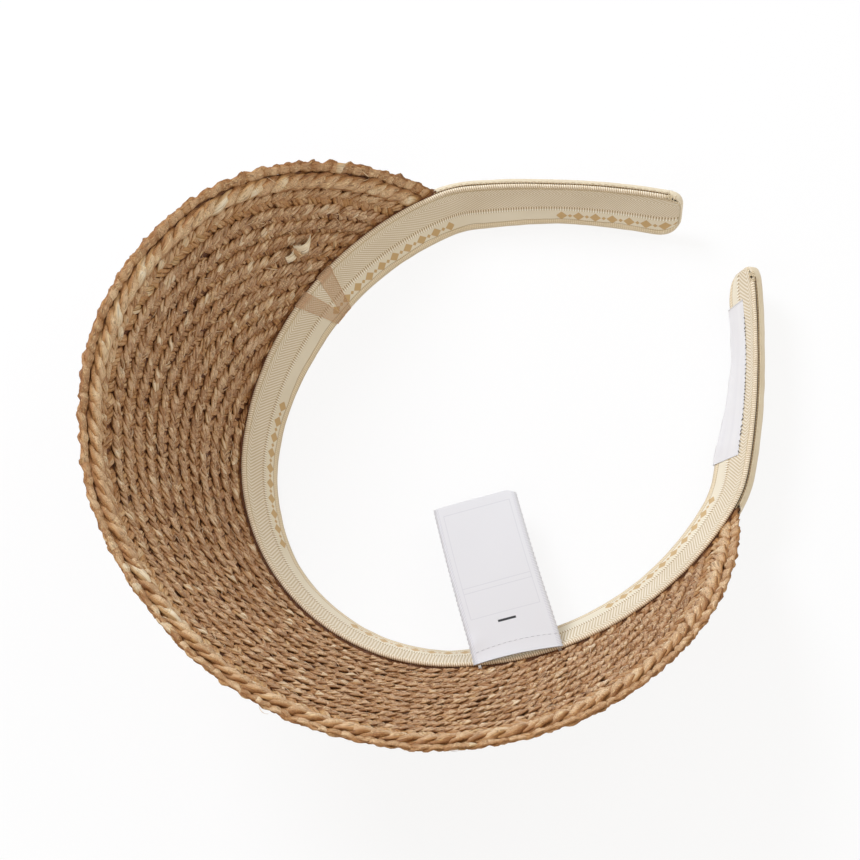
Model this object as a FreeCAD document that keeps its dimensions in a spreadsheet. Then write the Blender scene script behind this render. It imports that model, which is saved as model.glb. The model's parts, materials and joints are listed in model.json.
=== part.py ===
"""Open-back raffia sun visor, lying crown side down on its band.

+Z is up, -Y is the wearer's front and +X the side that carries both labels. The band line is a
chain of tangent arcs, mirrored about X = 0. An angle around the visor is the heading of the
band line's outward normal, measured from -Y towards +X. Lengths are in millimetres.
"""
import FreeCAD
import Part
import math
import os

from FreeCAD import Placement, Rotation, Vector

SIZES = {
    # band line, seen from above: front, side, bend behind the brim, straight arm
    "front_radius": 74.0,
    "front_angle": 48.0,
    "side_radius": 114.0,
    "side_angle": 108.0,
    "bend_radius": 40.0,
    "bend_angle": 127.0,
    "arm_radius": 250.0,
    "tip_angle": 144.3,
    # band: layers from the head outwards
    "band_lean_angle": 32.0,
    "tape_width": 20.0,
    "tape_thickness": 0.9,
    "piping_diameter": 1.5,
    "piping_sides": 6,
    "layer_gap": 0.1,
    "core_thickness": 1.0,
    "core_inset": 0.6,
    "seam_clearance": 0.4,
    "cover_thickness": 0.7,
    "tip_rounding": 5.0,
    # brim
    "brim_slope_angle": 62.7,
    "brim_depth": 91.4,
    "brim_level_angle": 43.0,
    "tuck_depth": 2.5,
    "squeeze_length": 14.0,
    "braid_gap": 0.25,
    "braid_rows": 12,
    "last_row_tuck": 1.6,
    "braid_thickness": 2.0,
    "rim_edge_share": 0.55,
    "edge_braid_width": 5.2,
    "edge_braid_thickness": 3.0,
    "rope_width": 5.6,
    "rope_thickness": 4.4,
    "plait_width": 7.2,
    "plait_thickness": 2.4,
    "shortest_cut": 1.2,
    "station_step_angle": 9.0,
    "station_margin_angle": 0.5,
    # knot of raffia on the inner side of the brim
    "knot_angle": -81.0,
    "knot_depth": 17.0,
    "knot_length": 7.0,
    "knot_width": 5.0,
    "knot_height": 3.6,
    "knot_chamfer": 1.1,
    "tail_length": 6.0,
    "tail_radius": 0.7,
    "tail_sides": 5,
    # sheer ribbon round the band
    "ribbon_width": 5.0,
    "ribbon_thickness": 0.25,
    "ribbon_fold_angle": -80.1,
    "ribbon_fold_spread_angle": 1.6,
    "ribbon_leg_spread_angle": 6.5,
    # labels
    "size_label_angle": 128.9,
    "size_label_length": 57.0,
    "size_label_height": 15.0,
    "size_label_drop": 4.0,
    "size_label_thickness": 0.35,
    "care_label_angle": 60.3,
    "care_label_skew_angle": 2.6,
    "care_label_droop_angle": 9.5,
    "care_label_length": 61.0,
    "care_label_width": 30.0,
    "care_label_ply": 0.25,
    "care_label_loft": 0.3,
    "care_label_clearance": 2.8,
    "tack_radius": 0.3,
    "tack_sides": 6,
    "tack_inset": 1.5,
    "tack_setback": 0.8,
    "tack_length": 2.6,
}
# two lengths or angles closer than this count as the same
SAME = 0.001

doc = FreeCAD.newDocument("sun_visor")
sheet = doc.addObject("Spreadsheet::Sheet", "Sizes")
for row, (alias, number) in enumerate(SIZES.items(), start=1):
    sheet.set(f"A{row}", alias)
    sheet.set(f"B{row}", str(number))
    sheet.setAlias(f"B{row}", alias)
doc.recompute()


def size(expression):
    """The value of a formula over the named sizes, such as tape_width - core_inset."""
    return float(sheet.evalExpression(expression))


# ---------------------------------------------------------------- band line and its surfaces

ARCS = [
    (size("front_radius"), 0.0, size("front_angle")),
    (size("side_radius"), size("front_angle"), size("side_angle")),
    (size("bend_radius"), size("side_angle"), size("bend_angle")),
    (size("arm_radius"), size("bend_angle"), size("tip_angle")),
]
LEAN = math.radians(size("band_lean_angle"))
SLOPE = math.radians(size("brim_slope_angle"))
COVER_INSIDE = "tape_thickness + 2 * seam_clearance + braid_thickness"
BAND_THICKNESS = COVER_INSIDE + " + cover_thickness"
BAND_HEIGHT = "tape_width + cover_thickness"
BRIM_MIDDLE = size("tape_thickness + seam_clearance + braid_thickness / 2")
# the finer braids fill the brim from the rim braids to just below the band's edge
ROW_PITCH = ("(brim_depth + last_row_tuck - edge_braid_width - rope_width - plait_width)"
             " / braid_rows")
PIPING_MIDDLE = "tape_thickness + seam_clearance / 2 - piping_diameter / 2"
# the band stands on the outer corner of its crown edge
EDGE_HEIGHT = size(BAND_HEIGHT) * math.cos(LEAN) + size(BAND_THICKNESS) * math.sin(LEAN)


def heading(angle):
    """Outward direction at an angle around the visor."""
    turn = math.radians(angle)
    return Vector(math.sin(turn), -math.cos(turn), 0)


def arc_centres():
    """Centre of each arc on the +X side; tangent arcs share the normal where they meet."""
    centre = Vector(0, 0, EDGE_HEIGHT)
    centres = [centre]
    for (radius, _, end), (next_radius, _, _) in zip(ARCS, ARCS[1:]):
        centre = centre + heading(end) * (radius - next_radius)
        centres.append(centre)
    return centres


CENTRES = arc_centres()


def arc_at(angle):
    """Centre and radius of the arc that holds an angle on the +X side."""
    for centre, (radius, _, end) in zip(CENTRES, ARCS):
        if angle <= end:
            return centre, radius
    return CENTRES[-1], ARCS[-1][0]


def mirrored(point, angle):
    return Vector(-point.x, point.y, point.z) if angle < 0 else point


def edge_point(angle):
    """Point of the band line, the band's upper edge on the head side."""
    centre, radius = arc_at(abs(angle))
    return mirrored(centre + heading(abs(angle)) * radius, angle)


def across_band(angle):
    """Unit vector through the band's layers, away from the head."""
    return heading(angle) * math.cos(LEAN) - Vector(0, 0, math.sin(LEAN))


def up_band(angle):
    """Unit vector up the leaning band, towards the brim."""
    return heading(angle) * math.sin(LEAN) + Vector(0, 0, math.cos(LEAN))


def band_point(angle, across, up):
    return edge_point(angle) + across_band(angle) * across + up_band(angle) * up


def brim_point(angle, reach, lift=0.0):
    """Point of the brim at a distance from the band; lift is through its thickness."""
    along = heading(angle) * math.cos(SLOPE) + Vector(0, 0, math.sin(SLOPE))
    through = heading(angle) * math.sin(SLOPE) - Vector(0, 0, math.cos(SLOPE))
    return band_point(angle, BRIM_MIDDLE, 0) + along * reach + through * lift


# ---------------------------------------------------------------- band layers

def band_line(name, end_angle):
    """The band line from the front to an angle on the +X side, as a wire of tangent arcs."""
    edges = []
    for centre, (radius, start, end) in zip(CENTRES, ARCS):
        end = min(end, end_angle)
        if end - start > SAME:
            points = [centre + heading(a) * radius for a in (start, (start + end) / 2, end)]
            edges.append(Part.Arc(*points).toShape())
    line = doc.addObject("Part::Feature", name)
    line.Shape = Part.Wire(edges)
    return line


def angle_before_tip(length):
    """Angle around the visor at a length before the end of the arm."""
    return size("tip_angle") - math.degrees(length / size("arm_radius"))


def front_frame(across, up):
    """Placement at the front whose X runs through the band and whose Y runs up it."""
    turn = Rotation(across_band(0), up_band(0), Vector(-1, 0, 0), "XYZ")
    return Placement(band_point(0, across, up), turn)


def half_sweep(name, profile, end_angle):
    line = band_line(name + "_line", end_angle)
    sweep = doc.addObject("Part::Sweep", name + "_half")
    sweep.Sections = [profile]
    sweep.Spine = (line, [f"Edge{i + 1}" for i in range(len(line.Shape.Edges))])
    sweep.Solid = True
    doc.recompute()
    return sweep


def layer(name, across, thickness, top, height, end_angle, rounding=0.0):
    """Half of a band layer: a rectangle across the band, swept from the front to the tip.

    across is where the layer starts, top is its upper edge; all four sizes are formulas.
    """
    profile = doc.addObject("Part::Plane", name + "_profile")
    for prop, formula in (("Length", thickness), ("Width", height)):
        profile.setExpression(prop, sheet_formula(formula))
    profile.Placement = front_frame(size(across), size(f"{top} - ({height})"))
    sweep = half_sweep(name, profile, end_angle)
    return rounded_tip(sweep, end_angle, size(thickness), rounding) if rounding > 0 else sweep


def sheet_formula(formula):
    """A formula over the named sizes, written as an expression that another object can use."""
    words = formula.replace("(", " ( ").replace(")", " ) ").split()
    return " ".join("Sizes." + word if word in SIZES else word for word in words)


def rounded_tip(sweep, end_angle, thickness, radius):
    """Round the two corners that a swept layer has at its tip."""
    forward = Vector(0, 0, 1).cross(heading(end_angle))
    tip = edge_point(end_angle)
    corners = [
        number for number, edge in enumerate(sweep.Shape.Edges, start=1)
        if abs(edge.Length - thickness) < SAME
        and abs((edge.CenterOfMass - tip).dot(forward)) < SAME
    ]
    fillet = doc.addObject("Part::Fillet", sweep.Name + "_rounded")
    fillet.Base = sweep
    fillet.Edges = [(number, radius, radius) for number in corners]
    return fillet


def both_sides(name, half):
    """Mirror a half about X = 0 and join the two."""
    mirror = doc.addObject("Part::Mirroring", name + "_mirror")
    mirror.Source = half
    mirror.Normal = Vector(1, 0, 0)
    whole = doc.addObject("Part::MultiFuse", name)
    whole.Shapes = [half, mirror]
    whole.Refine = True
    return whole


def cut(name, base, tool):
    result = doc.addObject("Part::Cut", name)
    result.Base = base
    result.Tool = tool
    return result


def make_tape():
    """Woven sweatband tape against the head, from the piping to the crown edge."""
    half = layer("tape", "0", "tape_thickness", "-piping_diameter - layer_gap",
                 "tape_width - piping_diameter - 2 * layer_gap",
                 angle_before_tip(size("cover_thickness + layer_gap")),
                 size("tip_rounding - cover_thickness - layer_gap"))
    return both_sides("sweatband_tape", half)


def make_piping():
    """Ribbed cord along the tape's upper edge; it stops where the tip starts to round."""
    section = doc.addObject("Part::RegularPolygon", "piping_profile")
    section.setExpression("Polygon", "Sizes.piping_sides")
    section.setExpression("Circumradius", "Sizes.piping_diameter / 2")
    section.Placement = front_frame(size(PIPING_MIDDLE), size("-piping_diameter / 2"))
    half = half_sweep("piping", section, angle_before_tip(size("tip_rounding")))
    return both_sides("sweatband_piping", half)


def make_core():
    """Springy strip between tape and cover, below the tucked braids; it keeps the band open."""
    half = layer("band_core", COVER_INSIDE + " - layer_gap - core_thickness", "core_thickness",
                 "-tuck_depth - core_inset", "tape_width - tuck_depth - 2 * core_inset",
                 angle_before_tip(size("cover_thickness + core_inset")),
                 size("tip_rounding - cover_thickness - core_inset"))
    return both_sides("band_core", half)


def make_cover():
    """Cloth cover round the outside, turned in at the crown edge, the tips and the arms' upper edge.

    A solid of the band's outer form, hollowed for its layers, with a groove for the piping and
    a slot through which the brim's braids are tucked in.
    """
    wall = size("cover_thickness")
    outer = layer("cover_outer", "0", BAND_THICKNESS, "0", BAND_HEIGHT,
                  size("tip_angle"), size("tip_rounding"))
    hollow = layer("cover_hollow", "-cover_thickness", COVER_INSIDE + " + cover_thickness",
                   "-cover_thickness", "tape_width - cover_thickness",
                   angle_before_tip(wall), size("tip_rounding") - wall)
    groove = layer("cover_groove", "-cover_thickness",
                   "tape_thickness + 2 * seam_clearance + cover_thickness",
                   "cover_thickness", "3 * cover_thickness",
                   angle_before_tip(size("tip_rounding - seam_clearance")))
    slot = layer("cover_slot", "-cover_thickness", COVER_INSIDE + " + cover_thickness",
                 "cover_thickness", "3 * cover_thickness",
                 size("side_angle") + math.degrees(size("seam_clearance") / size("bend_radius")))
    half = cut("cover_hollowed", outer, hollow)
    half = cut("cover_grooved", half, groove)
    half = cut("cover_slotted", half, slot)
    return both_sides("outer_cover", half)


# ---------------------------------------------------------------- brim of braid rows

def brim_reach(angle):
    """Distance from the band to the rim: level round the front, then a parabola to nothing."""
    level = size("brim_level_angle")
    fall = (abs(angle) - level) / (size("side_angle") - level)
    return size("brim_depth") * (1 - max(0.0, fall) ** 2)


def rim_shear(angle):
    """Sine of the angle between the rim and the line that runs straight up the brim."""
    level = size("brim_level_angle")
    span = math.radians(size("side_angle") - level)
    fall = max(0.0, (abs(angle) - level) / (size("side_angle") - level))
    _, radius = arc_at(abs(angle))
    forward = radius + brim_reach(angle) * math.cos(SLOPE)
    return forward / math.hypot(forward, 2 * size("brim_depth") * fall / span)


def line_reach(angle, inset):
    """Distance from the band to a line parallel to the rim, an inset inside it."""
    return brim_reach(angle) - inset / rim_shear(angle)


def along_facet(angle, value):
    """A value between stations, straight from what it is at the one before to the one after.

    All the braids share these stations, so their facets lie side by side without crossing.
    """
    step = size("station_step_angle")
    before = step * math.floor(angle / step)
    first = value(before)
    return first + (value(before + step) - first) * ((angle - before) / step)


def row_reach(angle, inset):
    return along_facet(angle, lambda station: line_reach(station, inset))


def row_point(angle, inset, lift):
    return along_facet(
        angle, lambda station: brim_point(station, line_reach(station, inset), lift))


def end_angle_of(inset, lowest):
    """Angle at which a line parallel to the rim comes down to the lowest reach."""
    low, high = 0.0, size("side_angle")
    if row_reach(high, inset) >= lowest:
        return high
    while high - low > SAME:
        middle = (low + high) / 2
        if row_reach(middle, inset) > lowest:
            low = middle
        else:
            high = middle
    return low


def row_section(angle, inset, width, thickness, edge_share):
    """Lens across a braid, clipped where the band cuts it and squeezed into the seam.

    edge_share is how thick its edges are beside its middle: none for a flat plait.
    """
    outer = row_reach(angle, inset)
    inner = row_reach(angle, inset + width)
    kept = min(1.0, (outer + size("tuck_depth")) / (outer - inner))
    thin = size("braid_thickness")
    free = min(1.0, max(0.0, inner / size("squeeze_length")))
    half_height = (thin + (thickness - thin) * free) / 2
    top = [(0.0, edge_share), (0.5, 1.0), (1.0, edge_share)]
    bottom = [(share, -tall) for share, tall in reversed(top) if tall > 0]
    points = [row_point(angle, inset + width * kept * share, half_height * tall)
              for share, tall in top + bottom]
    return Part.makePolygon(points + points[:1])


def stations(start, end):
    """Angles after the start, up to and with the end: the shared stations, then the end itself."""
    step, margin = size("station_step_angle"), size("station_margin_angle")
    if end - start < margin:
        return []
    shared = [number * step for number in range(math.ceil(end / step))]
    return [angle for angle in shared if start + margin < angle < end - margin] + [end]


def braid_row(name, inset, pitch, thickness, edge_share):
    """One braid parallel to the rim, from where the band cuts it on one side to the other."""
    width = pitch - size("braid_gap")
    tuck = -size("tuck_depth")
    last = end_angle_of(inset, tuck + size("shortest_cut"))
    clip = end_angle_of(inset + width, tuck)
    angles = stations(0.0, clip) + stations(clip, last)
    angles = [-angle for angle in reversed(angles)] + [0.0] + angles
    sections = [row_section(angle, inset, width, thickness, edge_share) for angle in angles]
    row = doc.addObject("Part::Feature", name)
    row.Shape = Part.makeLoft(sections, True, True)
    return row


def make_brim():
    """Rim braids, then plain braids side by side until the last is tucked into the band."""
    rim = [
        ("rim_edge_braid", "edge_braid_width", "edge_braid_thickness"),
        ("rim_rope_braid", "rope_width", "rope_thickness"),
        ("flat_plait_braid", "plait_width", "plait_thickness"),
    ]
    rows = []
    inset = 0.0
    for name, width, thickness in rim:
        rows.append(braid_row(name, inset, size(width), size(thickness),
                              size("rim_edge_share")))
        inset += size(width)
    for number in range(1, int(size("braid_rows")) + 1):
        name = f"brim_braid_row_{number:02d}"
        rows.append(braid_row(name, inset, size(ROW_PITCH), size("braid_thickness"), 0.0))
        inset += size(ROW_PITCH)
    return rows


def make_knot():
    """Knotted raffia end on the brim's inner face, with two short tails."""
    angle = size("knot_angle")
    lift = -size("braid_thickness / 2 + layer_gap + knot_height / 2")
    out = heading(angle) * math.sin(SLOPE) - Vector(0, 0, math.cos(SLOPE))
    along = heading(angle) * math.cos(SLOPE) + Vector(0, 0, math.sin(SLOPE))
    side = out.cross(along)
    centre = brim_point(angle, size("knot_depth"), lift)
    lump = doc.addObject("Part::Box", "knot_lump")
    for prop, alias in (("Length", "knot_length"), ("Width", "knot_width"), ("Height", "knot_height")):
        lump.setExpression(prop, "Sizes." + alias)
    corner = Vector(size("-knot_length / 2"), size("-knot_width / 2"), size("-knot_height / 2"))
    turn = Rotation(along, side, out * -1, "ZXY")
    lump.Placement = Placement(centre, turn).multiply(Placement(corner, Rotation()))
    doc.recompute()
    rounded = doc.addObject("Part::Chamfer", "knot_rounded")
    rounded.Base = lump
    chamfer = size("knot_chamfer")
    rounded.Edges = [(number + 1, chamfer, chamfer) for number in range(len(lump.Shape.Edges))]
    tails = []
    for number, lean in enumerate((-0.5, 0.6)):
        tail = doc.addObject("Part::Prism", f"knot_tail_{number + 1}")
        tail.setExpression("Polygon", "Sizes.tail_sides")
        tail.setExpression("Circumradius", "Sizes.tail_radius")
        tail.setExpression("Height", "Sizes.knot_length / 4 + Sizes.tail_length")
        direction = side + along * lean
        direction.normalize()
        tail.Placement = Placement(centre, Rotation(Vector(0, 0, 1), direction))
        tails.append(tail)
    knot = doc.addObject("Part::MultiFuse", "raffia_knot")
    knot.Shapes = [rounded] + tails
    return knot


# ---------------------------------------------------------------- ribbon, labels and tacks

def ribbon_leg(name, top_angle, low_angle, rise):
    """One leg of the ribbon, over the piping and down the tape; rise lifts it off what it covers."""
    half = math.degrees(size("ribbon_width / 2") / size("side_radius"))
    piping_inside = size(PIPING_MIDDLE + " - piping_diameter / 2")
    bottom = -size(BAND_HEIGHT)
    over_piping = piping_inside - rise
    sections = []
    for up, outer in ((0.0, over_piping), (-size("piping_diameter"), over_piping),
                      (-2 * size("piping_diameter"), -rise), (bottom, -rise)):
        middle = top_angle + (low_angle - top_angle) * up / bottom
        inner = outer - size("ribbon_thickness")
        points = [band_point(middle + side * half, across, up)
                  for side, across in ((-1, inner), (1, inner), (1, outer), (-1, outer))]
        sections.append(Part.makePolygon(points + points[:1]))
    leg = doc.addObject("Part::Feature", name)
    leg.Shape = Part.makeLoft(sections, True, True)
    return leg


def make_ribbon():
    """Sheer ribbon looped round the band: two legs over the tape that meet at the crown edge."""
    fold = size("ribbon_fold_angle")
    legs = []
    for number, side in enumerate((-0.5, 0.5)):
        rise = size("layer_gap") + number * size("ribbon_thickness")
        legs.append(ribbon_leg(f"ribbon_leg_{number + 1}", fold + side * size("ribbon_leg_spread_angle"),
                               fold + side * size("ribbon_fold_spread_angle"), rise))
    ribbon = doc.addObject("Part::MultiFuse", "sheer_ribbon")
    ribbon.Shapes = legs
    return ribbon


def make_size_label():
    """Flat woven label sewn to the tape inside the +X arm."""
    start = size("size_label_angle")
    turn = math.degrees(size("size_label_length") / size("arm_radius"))
    top = -size("size_label_drop")
    low = top - size("size_label_height")
    centre, _ = arc_at(start)
    points = [band_point(start, across, up) for across, up in (
        (-size("layer_gap"), top), (-size("layer_gap + size_label_thickness"), top),
        (-size("layer_gap + size_label_thickness"), low), (-size("layer_gap"), low))]
    profile = doc.addObject("Part::Feature", "size_label_profile")
    profile.Shape = Part.Face(Part.makePolygon(points + points[:1]))
    label = doc.addObject("Part::Revolution", "size_label")
    label.Source = profile
    label.Base = centre
    label.Axis = Vector(0, 0, 1)
    label.Angle = turn
    label.Solid = True
    return label


def care_label_frame():
    """Placement at the label's swing line: X along the label, Y along the swing line."""
    angle = size("care_label_angle")
    inward = Rotation(Vector(0, 0, 1), size("care_label_skew_angle")).multVec(heading(angle) * -1)
    along = inward * math.cos(math.radians(size("care_label_droop_angle")))
    along.z = -math.sin(math.radians(size("care_label_droop_angle")))
    swing = Vector(0, 0, 1).cross(inward)
    start = edge_point(angle) + inward * size("care_label_clearance")
    return Placement(start, Rotation(along, swing, along.cross(swing), "XYZ"))


def make_care_label():
    """Satin label folded double: two plies joined at the fold, open at the sewn end."""
    thickness = "2 * Sizes.care_label_ply + Sizes.care_label_loft"
    strip = doc.addObject("Part::Box", "care_label_strip")
    strip.setExpression("Length", "Sizes.care_label_length")
    strip.setExpression("Width", "Sizes.care_label_width")
    strip.setExpression("Height", thickness)
    doc.recompute()
    radius = size("care_label_ply + care_label_loft / 2") - SAME
    length = size("care_label_length")
    fold = [number for number, edge in enumerate(strip.Shape.Edges, start=1)
            if abs(edge.CenterOfMass.x - length) < SAME
            and abs(edge.Length - size("care_label_width")) < SAME]
    folded = doc.addObject("Part::Fillet", "care_label_folded")
    folded.Base = strip
    folded.Edges = [(number, radius, radius) for number in fold]
    space = doc.addObject("Part::Box", "care_label_space")
    space.setExpression("Length", "Sizes.care_label_length - 2 * Sizes.care_label_ply")
    space.setExpression("Width", "Sizes.care_label_width + 2 * Sizes.care_label_ply")
    space.setExpression("Height", "Sizes.care_label_loft")
    space.Placement.Base = Vector(-size("care_label_ply"), -size("care_label_ply"), size("care_label_ply"))
    label = cut("care_label", folded, space)
    half = Vector(0, -size("care_label_width / 2"), -size("care_label_ply + care_label_loft / 2"))
    label.Placement = care_label_frame().multiply(Placement(half, Rotation()))
    return label


def make_tacks():
    """Two thread tacks over the piping, behind the label's corners."""
    frame = care_label_frame()
    swing = frame.Rotation.multVec(Vector(0, 1, 0))
    outward = Vector(0, 0, 1).cross(swing)
    lift = Vector(0, 0, size("tack_radius + layer_gap / 2"))
    tacks = []
    for number, side in enumerate((-1, 1)):
        offset = side * size("care_label_width / 2 - tack_inset")
        start = frame.Base + swing * offset + outward * size("tack_setback") + lift
        tack = doc.addObject("Part::Prism", f"tack_{number + 1}")
        tack.setExpression("Polygon", "Sizes.tack_sides")
        tack.setExpression("Circumradius", "Sizes.tack_radius")
        tack.setExpression("Height", "Sizes.tack_length")
        tack.Placement = Placement(start, Rotation(Vector(0, 0, 1), outward))
        tacks.append(tack)
    group = doc.addObject("Part::Compound", "care_label_tacks")
    group.Links = tacks
    return group


# ---------------------------------------------------------------- assembly and export

def centre_on_ground(parts):
    """Move the whole visor so that the middle of its outline is over the origin."""
    box = FreeCAD.BoundBox()
    for part in parts:
        box.add(part.Shape.optimalBoundingBox(False))
    shift = Placement(Vector(-box.Center.x, -box.Center.y, -box.ZMin), Rotation())
    for part in parts:
        part.Placement = shift.multiply(part.Placement)


def check(parts):
    for item in doc.Objects:
        if "Invalid" in item.State or "Error" in item.State:
            raise RuntimeError(f"{item.Name} failed: {item.State}")
    for part in parts:
        if part.Shape.isNull() or not part.Shape.isValid() or part.Shape.Volume <= 0:
            raise RuntimeError(f"{part.Name} is not a valid solid")


visor = [
    make_tape(),
    make_piping(),
    make_core(),
    make_cover(),
    *make_brim(),
    make_knot(),
    make_ribbon(),
    make_size_label(),
    make_care_label(),
    make_tacks(),
]
doc.recompute()
centre_on_ground(visor)
doc.recompute()
check(visor)

os.makedirs("parts", exist_ok=True)
for part in visor:
    part.Shape.exportStep(f"parts/{part.Name}.step")
    box = part.Shape.BoundBox
    print(f"{part.Name:22s} {part.Shape.Volume:9.1f} mm3  solids {len(part.Shape.Solids)}  "
          f"z {box.ZMin:6.2f} to {box.ZMax:6.2f}")
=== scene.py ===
"""Looks of the open-back raffia sun visor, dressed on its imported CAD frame.

Shapes are worked out in millimetres in the CAD frame, with the same band line and brim as the
solids, and stored in metres. An angle around the visor is the heading of the band line's outward
normal, from -Y towards +X. "across" runs through the band's layers away from the head, "up" runs
up the leaning band, and "reach" is the distance up the brim from the band.
"""
import json
import math

import bpy
import numpy as np
from mathutils import Matrix, Vector

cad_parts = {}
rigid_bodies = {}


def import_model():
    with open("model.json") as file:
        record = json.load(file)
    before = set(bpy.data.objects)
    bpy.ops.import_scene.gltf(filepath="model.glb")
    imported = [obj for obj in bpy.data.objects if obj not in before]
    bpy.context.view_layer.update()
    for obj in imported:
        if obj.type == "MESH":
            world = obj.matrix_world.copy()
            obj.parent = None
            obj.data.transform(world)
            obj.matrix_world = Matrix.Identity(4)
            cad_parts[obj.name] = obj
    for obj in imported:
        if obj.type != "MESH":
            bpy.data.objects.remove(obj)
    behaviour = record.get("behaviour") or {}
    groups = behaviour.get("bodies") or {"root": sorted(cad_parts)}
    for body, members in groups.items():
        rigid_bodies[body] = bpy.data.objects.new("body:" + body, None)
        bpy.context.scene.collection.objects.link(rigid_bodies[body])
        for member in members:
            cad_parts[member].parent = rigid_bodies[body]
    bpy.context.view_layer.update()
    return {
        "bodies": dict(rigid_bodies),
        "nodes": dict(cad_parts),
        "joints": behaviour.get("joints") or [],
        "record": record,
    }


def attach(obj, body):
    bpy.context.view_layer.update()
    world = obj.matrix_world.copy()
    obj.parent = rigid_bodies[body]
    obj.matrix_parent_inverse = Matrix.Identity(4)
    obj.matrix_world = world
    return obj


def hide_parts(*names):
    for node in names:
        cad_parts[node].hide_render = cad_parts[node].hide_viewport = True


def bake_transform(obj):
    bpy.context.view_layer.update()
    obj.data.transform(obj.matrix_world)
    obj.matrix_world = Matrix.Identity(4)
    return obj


MM = 0.001
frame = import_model()

# ---------------------------------------------------------------- band line and brim, as in the solids

# radii of the band line's arcs, and the angle at which each of them ends
RADII = np.array([74.0, 114.0, 40.0, 250.0])
ENDS = np.array([48.0, 108.0, 127.0, 147.0])
TIP_ANGLE = 144.3
FRONT_CENTRE = np.array([0.0, -4.6208, 19.8862])
LEAN = math.radians(32.0)
SLOPE = math.radians(62.7)
BAND_HEIGHT = 20.7
BAND_THICKNESS = 4.4
BRIM_MIDDLE = 2.3
BRIM_DEPTH = 91.4
LEVEL_ANGLE = 43.0
BRIM_END = 108.0
TIP_ROUNDING = 5.0
CROWN_ROUNDING = 8.0
SOFT_TIP = 14.0
TIP_REACH = (1.9, 3.0)  # how far the -X and the +X tip is drawn out
# how far out the soft band bends at its upper and its crown edge, by length from -X tip to +X tip
BEND_LENGTHS = (-262.0, -226.0, -198.0, -172.0, -104.0, -74.0, -36.0, -14.0, 62.0, 104.0, 140.0,
                206.0, 218.0, 242.0, 262.0)
TOP_BENDS = (-1.3, -1.8, -1.0, 0, 0, 0, 0, 0, 0, 0, 0, -0.3, -0.5, -0.8, -0.2)
CROWN_BENDS = (1.7, 2.6, 0.4, -0.2, -1.0, 0.1, 0.5, 1.7, 2.2, 0.0, 0.0, -1.0, 0.9, 3.7, 3.7)
# how far the rim swings out of its smooth curve, by angle
RIM_ANGLES = (-92.0, -76.0, -66.0, -40.0, -24.0, -4.0, 12.0, 36.0, 60.0, 80.0, 100.0)
RIM_SWINGS = (1.5, 1.0, -0.9, -0.3, 1.0, -2.2, -1.6, -2.2, -0.6, -2.2, -1.2)
UP = np.array([0.0, 0.0, 1.0])


def column(values):
    return np.asarray(values, float)[..., None]


def unit(vectors):
    return vectors / np.linalg.norm(vectors, axis=-1, keepdims=True)


def heading(angle):
    turn = np.radians(np.asarray(angle, float))
    return np.stack([np.sin(turn), -np.cos(turn), np.zeros_like(turn)], axis=-1)


def tilted(angle, slope):
    """Unit vectors out along a slope, and square to it on its upper side."""
    out = heading(angle)
    return (out * math.cos(slope) + UP * math.sin(slope),
            UP * math.cos(slope) - out * math.sin(slope))


def lengths_along(line):
    steps = np.linalg.norm(np.diff(line, axis=0), axis=1)
    return np.concatenate([[0.0], np.cumsum(steps)])


def strand_frame(line, facing):
    """Unit vectors to the side of a line and out of the face that it turns a given way."""
    tangent = unit(np.gradient(line, axis=0))
    side = unit(np.cross(tangent, facing))
    return side, np.cross(side, tangent)


def arc_centres():
    centres = [FRONT_CENTRE]
    for number in range(len(RADII) - 1):
        shift = heading(ENDS[number]) * (RADII[number] - RADII[number + 1])
        centres.append(centres[-1] + shift)
    return np.array(centres)


CENTRES = arc_centres()
STARTS = np.concatenate([[0.0], ENDS])
ARC_LENGTHS = np.concatenate([[0.0], np.cumsum(RADII * np.radians(np.diff(STARTS)))])
HALF_LENGTH = ARC_LENGTHS[3] + RADII[3] * math.radians(TIP_ANGLE - ENDS[2])
PIPING_END = HALF_LENGTH - 4.2


def arc_number(angle):
    return np.searchsorted(ENDS[:-1], np.abs(angle))


def edge_point(angle):
    """Points of the band line, the band's upper edge on the head side."""
    angle = np.asarray(angle, float)
    number = arc_number(angle)
    point = CENTRES[number] + heading(np.abs(angle)) * column(RADII[number])
    point[..., 0] *= np.where(angle < 0, -1.0, 1.0)
    return point


def angle_at(length):
    """Angle around the visor at a length along the band line; the soft tips are drawn out."""
    share = np.clip((np.abs(length) - HALF_LENGTH + SOFT_TIP) / SOFT_TIP, 0, 1.1)
    drawn = np.where(np.asarray(length) < 0, TIP_REACH[0], TIP_REACH[1]) * share ** 2
    return np.sign(length) * np.interp(np.abs(length) + drawn, ARC_LENGTHS, STARTS)


def bend(angle, up):
    """How far outwards the soft band bends at an angle round the visor and a height."""
    length = np.sign(angle) * np.interp(np.abs(angle), STARTS, ARC_LENGTHS)
    top = np.interp(length, BEND_LENGTHS, TOP_BENDS)
    crown = np.interp(length, BEND_LENGTHS, CROWN_BENDS)
    return top + (crown - top) * np.clip(-np.asarray(up) / BAND_HEIGHT, 0, 1.05)


def band_point(angle, across, up):
    through, upward = tilted(angle, -LEAN)
    return edge_point(angle) + through * column(across + bend(angle, up)) + upward * column(up)


def brim_point(angle, reach, lift):
    """A point of the brim; lift is out of its inner face, towards the head."""
    upward, inward = tilted(angle, SLOPE)
    base = band_point(angle, BRIM_MIDDLE, 0.0)
    return base + upward * column(reach) + inward * column(lift)


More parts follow.
